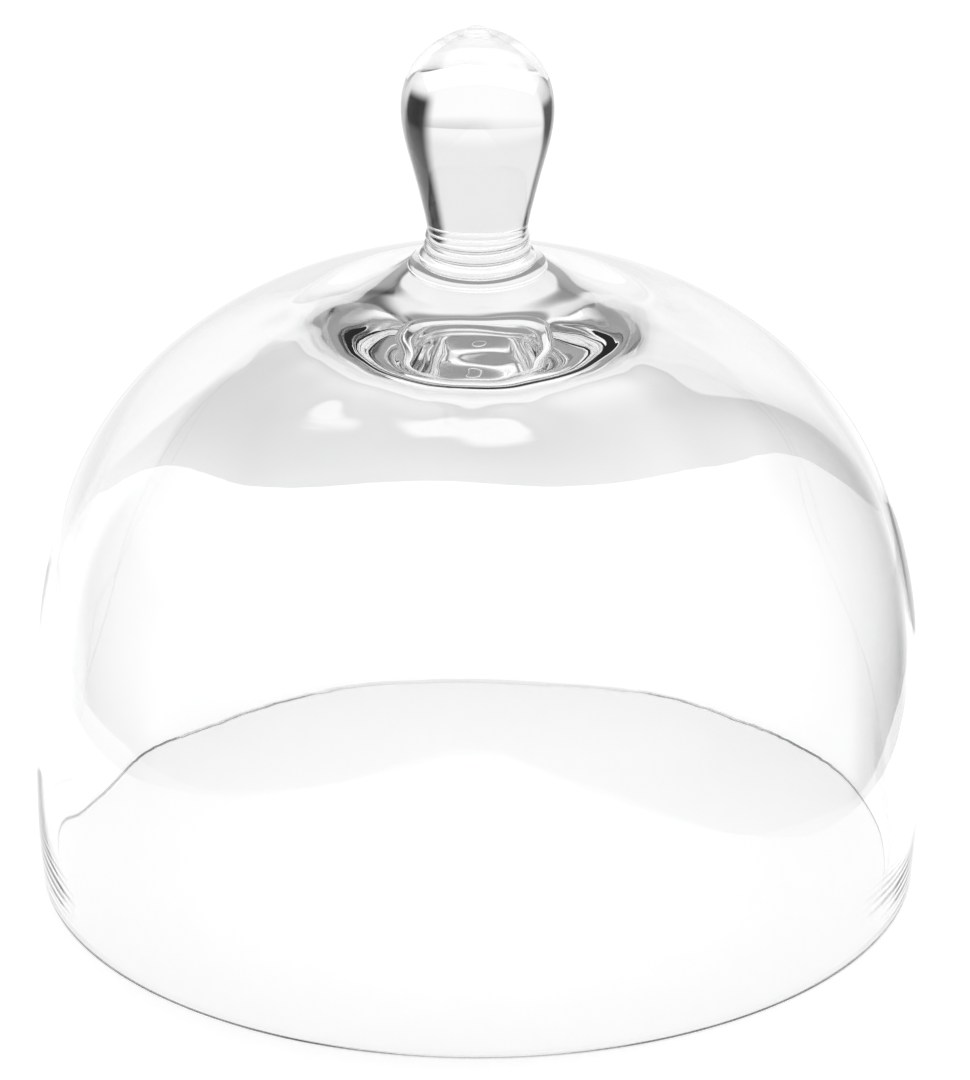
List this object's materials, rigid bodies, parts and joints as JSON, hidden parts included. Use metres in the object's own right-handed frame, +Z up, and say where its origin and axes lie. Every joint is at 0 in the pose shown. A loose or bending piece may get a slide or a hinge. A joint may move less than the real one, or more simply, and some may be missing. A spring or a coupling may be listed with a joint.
{
  "type": "bell jar dome",
  "caption": "Clear blown-glass display dome, open below, with a rounded crown, a ringed neck and a solid pear-shaped knob to lift it by.",
  "frame": {"origin": "on the axis of the bell, in the plane that the rim rests on", "axes": "+Z up along the axis of the bell, through the knob; the dome is a body of revolution, so X and Y are free"},
  "size_m": [0.25, 0.25, 0.258],
  "materials": {
    "blown_glass": "clear, fire polished",
    "solid_glass": "clear, fire polished"
  },
  "bodies": {
    "root": {"dome_shell": "blown_glass", "neck_post": "solid_glass", "neck_ring_lower": "solid_glass", "neck_ring_middle": "solid_glass", "neck_ring_upper": "solid_glass", "knob": "solid_glass", "tip_button": "solid_glass"}
  },
  "joints": []
}
